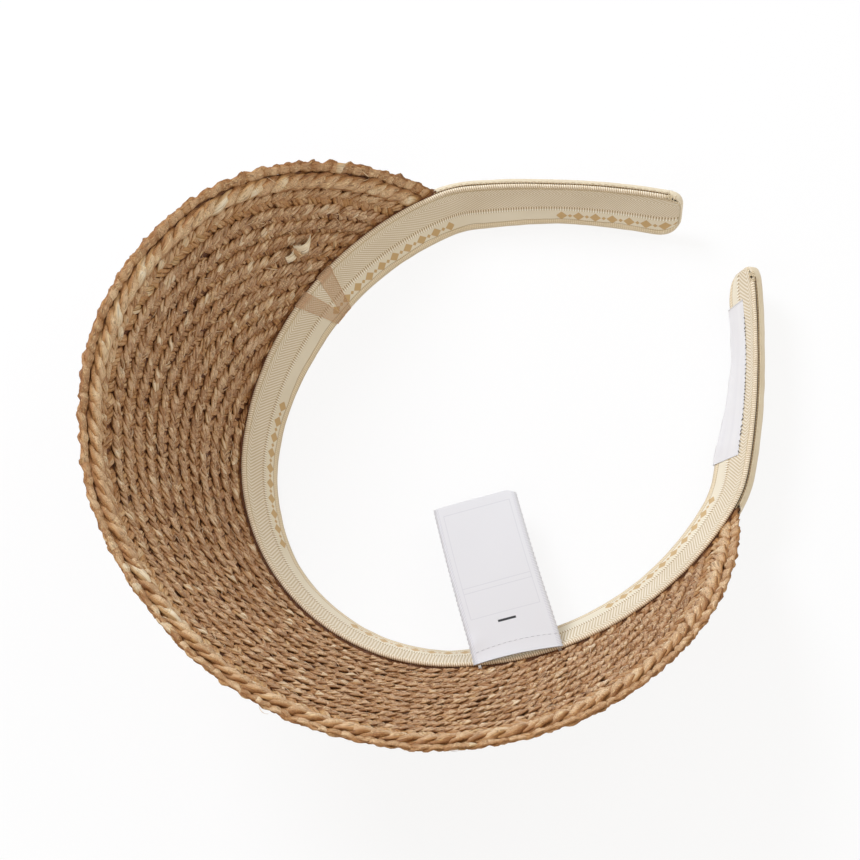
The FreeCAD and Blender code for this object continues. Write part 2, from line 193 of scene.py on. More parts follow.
def line_reach(angle, inset):
    """Distance from the band to a line parallel to the rim, an inset inside it.

    The rim is level round the front, then falls along a parabola to nothing.
    """
    fall = np.maximum(0.0, (np.abs(angle) - LEVEL_ANGLE) / (BRIM_END - LEVEL_ANGLE))
    rim = BRIM_DEPTH * (1 - fall ** 2)
    forward = RADII[arc_number(angle)] + rim * math.cos(SLOPE)
    steepness = 2 * BRIM_DEPTH * fall / math.radians(BRIM_END - LEVEL_ANGLE)
    reach = rim - inset * np.hypot(forward, steepness) / forward
    return reach * (1 + np.interp(angle, RIM_ANGLES, RIM_SWINGS) / (rim + 8.0))


# ---------------------------------------------------------------- meshes

class Patches:
    """Mesh of one piece, gathered as grids of points, with its own random draws.

    A place is a point's position on the texture, in millimetres along and across the material.
    tone tells one strand or thread from the next, and shade is painted shade: 0 deep down, where
    shadow falls, and 1 on top.
    """

    def __init__(self, seed=0):
        self.rng = np.random.default_rng(seed)
        self.grids = []
        self.count = 0

    def drift(self, length, step):
        """Smooth random values between -1 and 1 along a length, one wave to about two steps."""
        knots = np.arange(length[0] - step, length[-1] + 2 * step, step)
        values = self.rng.uniform(-1, 1, len(knots))
        number = (length - knots[0]) / step
        before = np.floor(number).astype(int)
        share = number - before
        share = share * share * (3 - 2 * share)
        return values[before] * (1 - share) + values[before + 1] * share

    def loft(self, lines, *settings):
        """Add the surface that passes through some lines of equally many points."""
        self.grid(np.stack(lines, axis=1), *settings)

    def grid(self, points, along, around, tone=0.5, shade=1.0, solid=True):
        """Add rows of points; in a solid each row is a ring, and the end rings are filled."""
        rows, columns = points.shape[:2]
        number = self.count + np.arange(rows * columns).reshape(rows, columns)
        wide = np.concatenate([number, number[:, :1]], axis=1) if solid else number
        place = np.stack(np.broadcast_arrays(column(along), np.asarray(around, float)), axis=-1)
        corners = [self.quads(wide).ravel()]
        places = [self.quads(place).reshape(-1, 2)]
        sizes = [4] * (len(corners[0]) // 4)
        if solid:
            corners += [number[0][::-1], number[-1]]
            places += [place[0, :columns], place[-1, :columns]]
            sizes += [columns, columns]
        self.grids.append((points.reshape(-1, 3), np.concatenate(corners), np.array(sizes),
                           np.concatenate(places), np.broadcast_to(tone, (rows, columns)).ravel(),
                           np.broadcast_to(shade, (rows, columns)).ravel()))
        self.count += rows * columns

    @staticmethod
    def quads(values):
        """The four corners of each face of a grid, in order."""
        return np.stack([values[:-1, :-1], values[1:, :-1], values[1:, 1:], values[:-1, 1:]],
                        axis=2)

    def tube(self, line, frame, half_width, half_height, tone, shade, facets, creases=0.0,
             edge_shade=0.0):
        """A flattened strand along a line; its frame says where its side and its face point.

        creases is how deep its folds are, and edge_shade how far painted shade darkens its two edges.
        A shade with two columns is the painted shade of the face and of the back.
        """
        turn = 2 * math.pi * np.arange(facets) / facets
        along = lengths_along(line)
        folds = 1 + creases * np.cos(3 * turn + 0.8 * column(along))
        side, face = (vectors[:, None, :] for vectors in frame)
        wide = side * column(column(half_width) * folds * np.cos(turn))
        tall = face * column(column(half_height) * folds * np.sin(turn))
        if np.shape(shade)[1:] == (2,):
            front = 0.5 + 0.5 * np.sin(turn)
            shade = shade[:, :1] * front + shade[:, 1:] * (1 - front)
        girth = math.pi * float(np.mean(half_width) + np.mean(half_height))
        self.grid(line[:, None, :] + wide + tall, along, np.linspace(0, girth, facets + 1), tone,
                  shade * (1 - edge_shade * np.cos(turn) ** 2))

    def thread(self, line, radius, shade=1.0, facets=5):
        """A thread of round section along any line."""
        radii = np.full(len(line), radius)
        self.tube(line, strand_frame(line, UP + 1e-6), radii, radii, 0.5, shade, facets)

    def build(self, name, material, *replaced, slot=None, body="visor", smooth=True):
        """Make the object, put its material on, hang it on its body and hide the CAD parts that it
        replaces.

        slot is not used, and body is the CAD body that the piece rides on, or None for a piece that
        rides on none.
        """
        mesh = bpy.data.meshes.new(name)
        points, corners, sizes, places, tones, shades = map(np.concatenate, zip(*self.grids))
        mesh.vertices.add(len(points))
        mesh.vertices.foreach_set("co", (points * MM).ravel())
        mesh.loops.add(len(corners))
        mesh.loops.foreach_set("vertex_index", corners.astype(np.int32))
        mesh.polygons.add(len(sizes))
        starts = np.concatenate([[0], np.cumsum(sizes)[:-1]])
        mesh.polygons.foreach_set("loop_start", starts.astype(np.int32))
        mesh.update(calc_edges=True)
        mesh.uv_layers.new(name="UVMap").data.foreach_set("uv", places.ravel())
        for label, values in (("tone", tones), ("shade", shades)):
            layer = mesh.attributes.new(label, "FLOAT", "POINT")
            layer.data.foreach_set("value", values.astype(np.float32))
        if smooth:
            mesh.shade_smooth()
        mesh.materials.append(MATERIALS[material])
        piece = bpy.data.objects.new(name, mesh)
        bpy.context.collection.objects.link(piece)
        if body:
            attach(piece, body)
        if replaced:
            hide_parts(*replaced)
        return piece


# ---------------------------------------------------------------- materials

def colour(code):
    """Linear colour of an sRGB hex code."""
    parts = [int(code[k:k + 2], 16) / 255 for k in (0, 2, 4)]
    return tuple(p / 12.92 if p <= 0.04045 else ((p + 0.055) / 1.055) ** 2.4 for p in parts) + (1.0,)


def new_node(tree, kind, inputs=(), **settings):
    """A node with some of its inputs and its other settings filled in."""
    node = tree.nodes.new(kind)
    for key, value in settings.items():
        setattr(node, key, value)
    for key, value in dict(inputs).items():
        node.inputs[key].default_value = value
    return node


class Output:
    """What a node gives out: a colour, or a number, on which arithmetic adds maths nodes."""

    def __init__(self, finish, socket):
        self.finish = finish
        self.socket = socket

    def math(self, operation, *others):
        node = new_node(self.finish.tree, "ShaderNodeMath", operation=operation)
        for socket, value in zip(node.inputs, (self, *others)):
            self.finish.link(value, socket)
        return Output(self.finish, node.outputs[0])

    def __add__(self, other):
        return self.math("ADD", other)

    def __sub__(self, other):
        return self.math("SUBTRACT", other)

    def __mul__(self, other):
        return self.math("MULTIPLY", other)

    def __abs__(self):
        return self.math("ABSOLUTE")

    def inverse(self):
        return self * -1.0 + 1.0

    def wave(self, period):
        """0 to 1 and back, once for each period."""
        return (self * (2 * math.pi / period)).math("SINE") * 0.5 + 0.5

    def step(self, edge, soft):
        """0 below an edge and 1 above it."""
        node = new_node(self.finish.tree, "ShaderNodeMapRange", interpolation_type="SMOOTHSTEP",
                        inputs={"From Min": edge - soft, "From Max": edge + soft})
        self.finish.link(self, node.inputs["Value"])
        return Output(self.finish, node.outputs[0])

    def band(self, low, high, soft=0.12):
        """1 between two values and 0 outside."""
        return self.step(low, soft) * self.step(high, soft).inverse()


MATERIALS = {}


class Finish:
    """Builds one material; each method adds a node and returns its output."""

    def __init__(self, name, roughness, sheen=0.0):
        MATERIALS[name] = bpy.data.materials.new(name)
        MATERIALS[name].use_nodes = True
        self.tree = MATERIALS[name].node_tree
        self.shader = self.tree.nodes["Principled BSDF"]
        for key, value in (("Roughness", roughness), ("Specular IOR Level", 0.35),
                           ("Sheen Weight", sheen), ("Sheen Roughness", 0.5)):
            self.shader.inputs[key].default_value = value

    def link(self, value, socket):
        """Feed a socket with an output, a number or the hex code of a colour."""
        if isinstance(value, Output):
            self.tree.links.new(value.socket, socket)
        else:
            socket.default_value = colour(value) if isinstance(value, str) else value

    def mix(self, share, first, second, blend="MIX"):
        node = new_node(self.tree, "ShaderNodeMix", data_type="RGBA", blend_type=blend)
        for number, value in ((0, share), (6, first), (7, second)):
            self.link(value, node.inputs[number])
        return Output(self, node.outputs[2])

    def attribute(self, name):
        node = new_node(self.tree, "ShaderNodeAttribute", attribute_name=name)
        return Output(self, node.outputs["Fac"])

    def place(self):
        """Millimetres along and across the material."""
        split = new_node(self.tree, "ShaderNodeSeparateXYZ")
        uv_map = new_node(self.tree, "ShaderNodeUVMap", uv_map="UVMap")
        self.tree.links.new(uv_map.outputs[0], split.inputs[0])
        return Output(self, split.outputs[0]), Output(self, split.outputs[1])

    def noise(self, x, y, z=0.0, detail=2.0):
        join = new_node(self.tree, "ShaderNodeCombineXYZ")
        for socket, value in zip(join.inputs, (x, y, z)):
            self.link(value, socket)
        node = new_node(self.tree, "ShaderNodeTexNoise", inputs={"Scale": 1.0, "Detail": detail})
        self.tree.links.new(join.outputs[0], node.inputs["Vector"])
        return Output(self, node.outputs[0])

    def ramp(self, value, *stops):
        node = new_node(self.tree, "ShaderNodeValToRGB")
        elements = node.color_ramp.elements
        while len(elements) < len(stops):
            elements.new(0.5)
        for element, (position, code) in zip(elements, stops):
            element.position = position
            element.color = colour(code)
        self.link(value, node.inputs[0])
        return Output(self, node.outputs[0])

    def patchy(self, base, share, noise, code, clean=0.7):
        """A base colour, tinted where a noise is low."""
        return self.mix(share, base, self.ramp(noise, (0.3, code), (clean, "ffffff")), "MULTIPLY")

    def shape(self, base, height, bump, distance):
        """Give the material its colour and its relief, whose distance is in millimetres."""
        self.link(base, self.shader.inputs["Base Color"])
        node = new_node(self.tree, "ShaderNodeBump",
                        inputs={"Strength": bump, "Distance": distance * MM})
        self.link(height, node.inputs["Height"])
        self.tree.links.new(node.outputs[0], self.shader.inputs["Normal"])


def raffia_finish(name, deep, dark, middle, light, pale):
    """Dry palm fibre: each strand its own tone, fine creases along it, and painted shade that turns it
    deep brown where it dips.
    """
    finish = Finish(name, roughness=0.55)
    along, around = finish.place()
    tone = finish.attribute("tone")
    own = tone * 37.0
    fibre = finish.noise(along * 0.25, around * 2.1, own, detail=3.0)
    patch = finish.noise(along * 0.16, own, 4.0, detail=1.0)
    base = finish.ramp((patch - 0.5) * 0.5 + tone, (0.1, dark), (0.5, middle), (0.9, light),
                       (1.0, pale))
    # fibre streaks along the strand, darkened where the relief sinks: partly painted shade in the
    # creases
    crease = finish.ramp(fibre, (0.34, "77634a"), (0.48, "f0e8dc"), (0.7, "ffffff"))
    base = finish.mix(0.6, base, crease, "MULTIPLY")
    # pale straw streaks, which also serve as painted highlights on fold edges
    thin = finish.noise(along * 0.4, around * 2.6, own, detail=1.0)
    base = finish.mix(thin.step(0.62, 0.05) * 0.6, base, "f6e0ae")
    # painted shade: the shade attribute darkens the colour, down to the deep colour where it is 0
    shade = finish.ramp(finish.attribute("shade"), (0.0, deep), (0.3, "8f6a42"), (0.62, "d4b996"),
                        (0.9, "ffffff"))
    finish.shape(finish.mix(1.0, base, shade, "MULTIPLY"), fibre, bump=0.55, distance=0.25)


def twill_tape_finish(name):
    """Cotton tape: herringbone twill, a ladder of fine threads, a satin stripe and a rolled edge."""
    finish = Finish(name, roughness=0.8, sheen=0.15)
    along, down = finish.place()
    twill = down.band(2.3, 11.0)
    dashes = down.band(11.1, 12.2, soft=0.08)
    beads = down.band(12.3, 13.1, soft=0.08)
    satin = down.band(13.2, 17.6)
    # diagonals, which change direction near the piping and are drawn askew round the head
    askew = (along * -0.006 + 0.3).math("MAXIMUM", -0.6).math("MINIMUM", 1.3)
    ribs = (abs(down - 4.4) * askew + along).wave(1.2)
    grain = (down - along * 0.35).wave(0.7)
    weave = ribs * (grain * 0.3 + 0.7)
    rungs = along.wave(0.95)
    height = rungs * (dashes + beads) + weave * twill
    base = finish.mix(along.wave(0.8) * down.wave(0.8), "dccba8", "fdf2da")
    base = finish.mix(twill, base, finish.mix(weave, "cdbb95", "f7f1e4"))
    base = finish.mix(dashes, base, finish.mix(rungs, "a48b62", "fbf1da"))
    base = finish.mix(beads, base, finish.mix(rungs, "c9b891", "fffdf4"))
    base = finish.mix(satin, base, finish.mix(motif(along, down), "ebe3cd", "cdae7c"))
    sway = (finish.noise(along * 0.09, 0.0, 7.0, detail=1.0) - 0.5) * 1.6
    # painted shadow: a thin dark line on the tape just under the piping
    base = finish.mix(down.band(2.02, 2.22, soft=0.08) * 0.6, base, "9a8158")
    base = finish.mix((down + sway).band(17.6, 17.82, soft=0.08) * 0.8, base, "94753f")
    base = finish.patchy(base, 0.2, finish.noise(along * 0.05, down * 0.1), "dcd2be")
    finish.shape(base, height, bump=0.25, distance=0.1)


def motif(along, down):
    """Groups of woven lozenges, large and small by turns, along the satin stripe."""
    repeat = 6.4
    from_middle = abs((along * (1 / repeat)).math("FRACT") - 0.5) * repeat
    height = abs(down - 15.75)
    large = (from_middle * (1 / 2.2) + height * (1 / 2.1)).step(1.0, 0.06).inverse()
    small = (height - from_middle + repeat / 2).step(0.9, 0.08).inverse()
    group = (along * (1 / (16 * repeat))).math("FRACT").band(0.2, 0.8, soft=0.004)
    clear_tip = along.step(255.0, 0.5).inverse()
    return large.math("MAXIMUM", small) * (group * clear_tip)


def cloth_finish(name, dark, light, pitch):
    """Plain weave of two sets of threads at one pitch, in millimetres."""
    finish = Finish(name, roughness=0.85, sheen=0.2)
    along, down = finish.place()
    weave = along.wave(pitch) * down.wave(pitch)
    noise = finish.noise(along * 0.08, down * 0.12)
    base = finish.patchy(finish.mix(weave, dark, light), 0.3, noise, "ddd3c2")
    finish.shape(base, weave, bump=0.5, distance=0.12)


def thread_finish(name, dark, light):
    """Twisted thread: painted shade makes it dark between the plies and light on top of them."""
    finish = Finish(name, roughness=0.7, sheen=0.1)
    along, around = finish.place()
    plies = (along + around).wave(0.5)
    base = finish.mix(plies * finish.attribute("shade"), dark, light)
    finish.shape(base, plies, bump=0.3, distance=0.05)


def ribbed_finish(name, dark, light):
    """Cord wound with thread: light on the windings and dark between them, as painted shade read from
    the shade attribute.
    """
    finish = Finish(name, roughness=0.7, sheen=0.1)
    along, _ = finish.place()
    ribs = finish.attribute("shade")
    base = finish.mix(ribs.math("POWER", 0.7), dark, light)
    base = finish.patchy(base, 0.3, finish.noise(along * 0.3, 2.0), "d9cbb0", clean=0.6)
    finish.shape(base, ribs, bump=0.3, distance=0.1)


def satin_finish(name, light, shadow):
    """White satin ribbon: fine weft lines and a soft gloss."""
    finish = Finish(name, roughness=0.42, sheen=0.1)
    along, across = finish.place()
    weft = along.wave(0.3)
    base = finish.mix(weft * 0.25, light, shadow)
    base = finish.patchy(base, 0.25, finish.noise(along * 0.05, across * 0.4), "e6e6ea")
    finish.shape(base, weft, bump=0.15, distance=0.05)


LABEL_LENGTH = 61.0
LABEL_WIDTH = 30.0
LABEL_LAP = 3.3  # how far the sewn end reaches out beyond the hinge line


def label_satin_finish(name):
    """The care label's satin: ticked selvedges, faint frames and a short dark bar."""
    finish = Finish(name, roughness=0.42, sheen=0.1)
    along, across = finish.place()
    weft = along.wave(0.3)
    from_edge = abs(across - LABEL_WIDTH / 2) * -1.0 + LABEL_WIDTH / 2
    from_hinge = along * -1.0 + (2 * LABEL_LENGTH + LABEL_LAP - 3.0)
    base = finish.mix(weft * 0.3, "e1e2e4", "d4d5d8")
    ticks = (along + from_edge).wave(1.1)
    base = finish.mix(ticks * from_edge.step(1.6, 0.2).inverse() * 0.5, base, "bfc0c7")
    border = from_edge.band(2.9, 3.1, soft=0.1)
    for place in (14.6, 24.6, 26.6, 55.5):
        line = from_hinge.band(place, place + 0.25, soft=0.1)
        border = border.math("MAXIMUM", line * from_edge.step(2.9, 0.1))
    base = finish.mix(border * from_hinge.band(14.6, 55.8, 0.1) * 0.45, base, "c0c1c8")
    bar = from_hinge.band(11.2, 12.1, soft=0.08) * across.band(12.2, 18.4, soft=0.1)
    finish.shape(finish.mix(bar, base, "262628"), weft, bump=0.15, distance=0.05)


def core_finish(name):
    """Milky flexible plastic strip with faint drawing lines."""
    finish = Finish(name, roughness=0.4)
    lines = new_node(finish.tree, "ShaderNodeTexNoise", inputs={"Scale": 900.0})
    place = new_node(finish.tree, "ShaderNodeTexCoord").outputs["Object"]
    finish.tree.links.new(place, lines.inputs["Vector"])
    height = Output(finish, lines.outputs[0])
    base = finish.ramp(height, (0.3, "dcdad2"), (0.7, "eceae4"))
    finish.shape(base, height, bump=0.1, distance=0.1)


raffia_finish("raffia_dark", "502e13", "b08c69", "c9a582", "dec2a1", "eedcc0")
raffia_finish("raffia_tan", "5a371b", "be976f", "d6b38c", "e9cfab", "f4e7cb")
raffia_finish("raffia_pale", "5c391b", "bf9971", "d8b68f", "ead3af", "f7ecd3")
twill_tape_finish("twill_tape")
ribbed_finish("ribbed_piping", "b89c6e", "fff6e2")
cloth_finish("cover_cloth", "e2d5b9", "fbf3e2", 0.42)
core_finish("stiff_core")
thread_finish("cotton_thread", "c4b08a", "efe2c6")
thread_finish("brown_thread", "5d421f", "e3cb9f")
thread_finish("dark_thread", "3a3733", "5b5750")
thread_finish("white_thread", "c9c8c4", "f2f1ee")
thread_finish("grey_thread", "b2b2b9", "d0d0d6")
thread_finish("gauze_ribbon", "cfa880", "f2d3b0")
satin_finish("white_satin", "e9e9e9", "d9d9db")
label_satin_finish("label_satin")

# ---------------------------------------------------------------- braids of the brim

BAND_TOP = -1.4
SEAM_THICKNESS = 2.0


class Braid(Patches):
    """One braid of the brim, whose strands follow a line parallel to the rim, band to band."""

    def __init__(self, seed, inset, width, thickness):
        super().__init__(seed)
        self.half = width / 2
        self.thickness = thickness
        sweep = np.linspace(-BRIM_END, BRIM_END, 4321)
        shown = sweep[line_reach(sweep, inset) >= -1.3]
        angle = np.linspace(shown[0], shown[-1], 1201)
        reach = line_reach(angle, inset + self.half)
        line = brim_point(angle, reach, np.zeros_like(angle))
        upward, inward = tilted(angle, SLOPE)
        rimward = unit(np.cross(unit(np.gradient(line, axis=0)), inward))
        self.length = lengths_along(line)
        self.end = self.length[-1]
        self.known = np.column_stack([line, inward, rimward, reach,
                                      (rimward * upward).sum(axis=1)])

    def at(self, length):
        """Point, inner face and rimward directions, reach, and share of rimward in upward."""
        values = np.column_stack([np.interp(length, self.length, row) for row in self.known.T])
        return values[:, 0:3], values[:, 3:6], values[:, 6:9], values[:, 9], values[:, 10]

    def squeeze(self, length, half_width):
        """Share of the thickness that is left where the braid comes down into the seam."""
        free = np.clip((self.at(length)[3] - half_width) / 14.0, 0.0, 1.0)
        return (SEAM_THICKNESS + (self.thickness - SEAM_THICKNESS) * free) / self.thickness

    def strip_tones(self, length, pale):
        """Tone along a strand: a new strip of raffia, of another tone, every few centimetres."""
        joins = np.cumsum(self.rng.uniform(8, 45, int(length[-1] / 8) + 3))
        values = self.rng.beta(4.0, 4.0, len(joins) + 1)
        values[self.rng.random(len(values)) < pale] = 1.0
        tones = values[np.searchsorted(joins, length)]
        return np.clip(tones + 0.2 * self.drift(length, 2.5), 0, 1)

    def strand(self, length, sideways, rise, half_width, half_height, tone, shade, facets,
               apart=0.0, edge_shade=0.2):
        """One strand; where it is inside the band it is left out.

        apart is how far to the side of the strand's own middle it runs, for one fibre of a bunch.
        """
        point, inward, rimward, reach, share = self.at(length)
        line = point + rimward * column(sideways) + inward * column(rise)
        side, face = strand_frame(line, inward)
        line = line + side * column(apart)
        height = reach + sideways * share
        # painted shade: the strand darkens towards the band, in the hollows where the braid meets it
        shade = shade * column(0.5 + 0.5 * np.clip((height + 0.8) / 2.4, 0, 1))
        shown = ((height > BAND_TOP) & (length > 0) & (length < self.end)).astype(int)
        starts = np.flatnonzero(np.diff(shown, prepend=0) == 1)
        ends = np.flatnonzero(np.diff(shown, append=0) == -1) + 1
        for start, end in zip(starts, ends):
            if end - start > 3:
                part = slice(start, end)
                self.tube(line[part], (side[part], face[part]), half_width[part],
                          half_height[part], column(tone[part]), shade[part], facets,
                          creases=0.16, edge_shade=edge_shade)

    def bunch(self, length, sideways, rise, half_width, half_height, tone, shade, fibres):
        """A strand made of a few fibres that lie side by side, some a little above the others."""
        gap = 2 * half_width / fibres
        for number in range(fibres):
            place = number - (fibres - 1) / 2
            apart = place * gap + 0.22 * self.drift(length, 2.2)
            lift = 0.28 * self.drift(length, 3.0) - 0.08 * abs(place)
            own = np.clip(tone + self.rng.uniform(-0.24, 0.24), 0, 1)
            wide = gap * (0.7 + 0.2 * self.drift(length, 2.4))
            self.strand(length, sideways, rise + lift, wide, 0.85 * half_height, own,
                        shade * self.rng.uniform(0.86, 1.05), 6, apart)

    def shaded_sheet(self, half_width, lift):
        """A thin sheet of fibre in the middle, which reaches the next braid; painted shade makes it
        dark brown where it shows between strands.
        """
        length = np.arange(0.5, self.end, 1.5)
        _, _, _, reach, share = self.at(length)
        lowest = (BAND_TOP + 0.2 - reach) / share
        length, lowest = length[lowest < half_width], lowest[lowest < half_width]
        point, inward, rimward, _, _ = self.at(length)
        across = half_width * np.linspace(-1, 1, 5)
        sideways = np.maximum(np.concatenate([across, across[::-1]]), column(lowest))
        rise = lift + 0.1 * np.repeat([1, -1], 5)
        points = (point[:, None, :] + rimward[:, None, :] * column(sideways)
                  + inward[:, None, :] * column(rise))
        # tone 0.2 and shade 0.2: the sheet is coloured as painted shade
        self.grid(points, length, np.arange(11) * 0.5 * half_width, 0.2, 0.2)

    def flat_plait(self, strands, period, half_width, ridge, strand_width, fibres, pale=0.02,
                   shift=0.0, loose=1.0, lap=0.25):
        """A flat plait: strands cross from side to side, over and under each other by turns.

        ridge is how far the rim side stands up over the band side, which is tucked under the next
        braid and lies in its shadow. shift moves the whole plait towards the rim, and lap is how
        far strands rise over each other, as a share of the thickness.
        """
        length = np.arange(0.0, self.end, period / 15)
        squeeze = self.squeeze(length, half_width)
        wander = self.drift(length, 9.0)
        sides = np.array([1.0, -1.0])
        for number in range(strands):
            turn = 2 * math.pi * (length / period + number / strands)
            turn = turn + 0.7 * self.drift(length, 8.0)
            swing = half_width - 0.5 * strand_width + 0.5 * loose * self.drift(length, 4.0)
            sideways = swing * np.sin(turn) + 0.3 * loose * wander
            over = -np.sin(2 * turn)
            rise = lap * self.thickness * over
            rise = rise + ridge * np.sin(0.5 * math.pi * sideways / half_width)
            rise = rise * squeeze + 0.15 * self.drift(length, 3.0)
            plump = 0.8 + 0.22 * np.abs(over) + 0.24 * loose * self.drift(length, period / 4)
            tall = 0.25 * self.thickness * squeeze * (0.9 + 0.15 * np.abs(over))
            # painted shade: a strand is darker where it passes under another, and the band side,
            # tucked under the next braid, is darker as painted shadow; the back is shaded the other
            # way round
            lit = np.clip((column(sideways / half_width) * sides + 0.8) / 0.9, 0, 1)
            shade = (0.8 + 0.2 * column(over) * sides) * (0.62 + 0.38 * (lit if ridge else 1.0))
            shade = shade + 0.1 * column(self.drift(length, 4.0))
            self.bunch(length, sideways + shift, rise, 0.5 * strand_width * plump, tall,
                       self.strip_tones(length, pale), shade, fibres)

    def rope_plait(self, period, half_width, lift, shift):
        """Three fat strands that wind round each other like a rope."""
        length = np.arange(0.0, self.end, period / 22)
        squeeze = self.squeeze(length, half_width)
        for number in range(3):
            turn = 2 * math.pi * (length / period + number / 3) + 0.5 * self.drift(length, 17.0)
            sideways = 0.37 * half_width * np.cos(turn) + 0.2 * self.drift(length, 6.0) + shift
            rise = (0.22 * self.thickness * np.sin(turn) + lift) * squeeze
            plump = 0.9 + 0.2 * np.sin(turn) ** 2 + 0.18 * self.drift(length, 4.0)
            tall = 0.25 * self.thickness * squeeze * plump
            # painted shade: each strand is darker where it winds under the others, on the face and on
            # the back by turns
            shade = 0.84 + 0.16 * column(np.sin(turn)) * np.array([1.0, -1.0])
            self.strand(length, sideways, rise, 0.57 * half_width * plump, tall,
                        self.strip_tones(length, 0.08), shade, 14, edge_shade=0.45)

    def stray_fibres(self, count, lift):
        """Fine ends of raffia that stand off the braid."""
        share = np.linspace(-1, 1, 9)
        for start in self.rng.uniform(4, self.end - 12, count):
            length = np.linspace(start, start + self.rng.uniform(2.0, 5.5), 9)
            lean = self.rng.uniform(-0.8, 0.8)
            side = self.rng.choice([-1.0, 1.0])
            point, inward, rimward, reach, _ = self.at(length)
            if reach.min() < 6:
                continue
            sideways = self.rng.uniform(-0.8, 0.8) * self.half + lean * (length - start)
            rise = side * lift * (0.55 + self.rng.uniform(0.2, 0.6) * (1 - share ** 2))
            line = point + rimward * column(sideways) + inward * column(rise)
            self.tube(line, strand_frame(line, inward), 0.16 * (1.2 - share ** 2),
                      np.full(9, 0.05), self.rng.uniform(0.4, 1.0), 0.95, 4)


EDGE_WIDTH = 5.2
ROPE_WIDTH = 5.6
FLAT_WIDTH = 7.2
ROW_PITCH = 6.25


def make_rim():
    """The three heavier braids: a narrow plait at the very edge, a rope and a plait of five."""
    edge = Braid(11, 0.0, EDGE_WIDTH, 3.0)
    edge.flat_plait(strands=3, period=15.5, half_width=edge.half - 0.8, ridge=0.0,
                    strand_width=3.0, fibres=1, pale=0.04, shift=-0.1, loose=0.3, lap=0.13)
    edge.shaded_sheet(edge.half - 1.8, 0.0)
    edge.stray_fibres(20, edge.thickness / 2)
    edge.build("edge_braid", "raffia_tan", "rim_edge_braid")

    rope = Braid(12, EDGE_WIDTH, ROPE_WIDTH, 4.4)
    rope.rope_plait(period=16.0, half_width=rope.half + 0.9, lift=0.7, shift=0.4)
    rope.shaded_sheet(rope.half + 0.9, 0.12)
    rope.stray_fibres(30, rope.thickness / 2)
    rope.build("rope_braid", "raffia_pale", "rim_rope_braid")

    flat = Braid(13, EDGE_WIDTH + ROPE_WIDTH, FLAT_WIDTH, 2.4)
    flat.flat_plait(strands=5, period=14.5, half_width=flat.half + 0.6, ridge=0.3,
                    strand_width=2.8, fibres=2, pale=0.06)
    flat.shaded_sheet(flat.half + 0.2, -0.12)
    flat.stray_fibres(40, flat.thickness / 2)
    flat.build("flat_braid", "raffia_tan", "flat_plait_braid", smooth=False)


def make_rows():
    """The finer braids, each lapped under the next one nearer to the band."""
    for number in range(1, 13):
        inset = EDGE_WIDTH + ROPE_WIDTH + FLAT_WIDTH + (number - 1) * ROW_PITCH
        braid = Braid(100 + number, inset, ROW_PITCH, 2.0)
        braid.flat_plait(strands=5, period=braid.rng.uniform(10.2, 11.6),
                         half_width=braid.half + 0.95, ridge=0.62, strand_width=2.7, fibres=2,
                         shift=-0.4)
        braid.shaded_sheet(braid.half + 0.2, 0.12 if number % 2 else -0.12)
        braid.stray_fibres(60, 1.5)
        braid.build(f"braid_row_{number:02d}", "raffia_dark", f"brim_braid_row_{number:02d}",
                    smooth=False)


# start and end sideways and up the brim, half width, how far it arches, and tone; the third blade's
# low tone is painted shade for the knot's shaded middle
KNOT_BLADES = (((-5.6, -1.6), (1.2, 0.8), 2.6, 2.0, 1.3), ((-1.0, 1.8), (2.6, -1.2), 1.3, 1.2, 0.9),
               ((1.0, -2.6), (1.7, 2.6), 1.0, 2.1, 0.2), ((1.2, 0.0), (5.6, 0.9), 2.0, 0.9, 1.3))
KNOT_ANGLE = -81.0
KNOT_REACH = 17.6
KNOT_LIFT = 2.7


def make_knot():
    """A raffia end tied in a small knot on the brim's inner face, with two short tails."""
    upward, inward = tilted(KNOT_ANGLE, SLOPE)
    side = np.cross(inward, upward)
    centre = brim_point(KNOT_ANGLE, KNOT_REACH, KNOT_LIFT)
    piece = Patches()
    share = np.linspace(0, 1, 18)
    for start, stop, half_width, arch, tone in KNOT_BLADES:
        place = np.asarray(start) + np.outer(share, np.subtract(stop, start))
        line = centre + np.outer(place[:, 0], side) + np.outer(place[:, 1], upward) \
            + np.outer(arch * np.sin(math.pi * share) - 0.5, inward)
        # painted shade: each blade lighter at its arched middle and darker towards its tucked ends
        shade = column(0.85 + 0.15 * np.sin(math.pi * share))
        piece.tube(line, strand_frame(line, inward + 0.4 * side),
                   half_width * (1.0 + 0.2 * np.cos(4 * share)), np.full(18, 0.2), tone,
                   shade, 8, creases=0.1)
    piece.build("tied_knot", "raffia_pale", "raffia_knot")


# ---------------------------------------------------------------- band

def tip_shrink(length, half_length, radius):
    """How far a rounded end draws an edge in, at lengths along a layer of the band."""
    inside = np.clip(half_length - np.abs(length), 0.0, radius)
    return radius - np.sqrt(radius ** 2 - (radius - inside) ** 2)


def band_lengths(half_length, step):
    """Lengths along the band line, with closer ones at the rounded tips."""
    near_tip = half_length - CROWN_ROUNDING * (1 - np.cos(np.linspace(0, math.pi / 2, 12)))
    middle = np.arange(0.0, half_length - CROWN_ROUNDING, step)
    half = np.concatenate([middle, near_tip[::-1]])
    return np.concatenate([-half[:0:-1], half])


TAPE_INSET = 0.8  # from the band's outline
CORE_INSET = 1.6


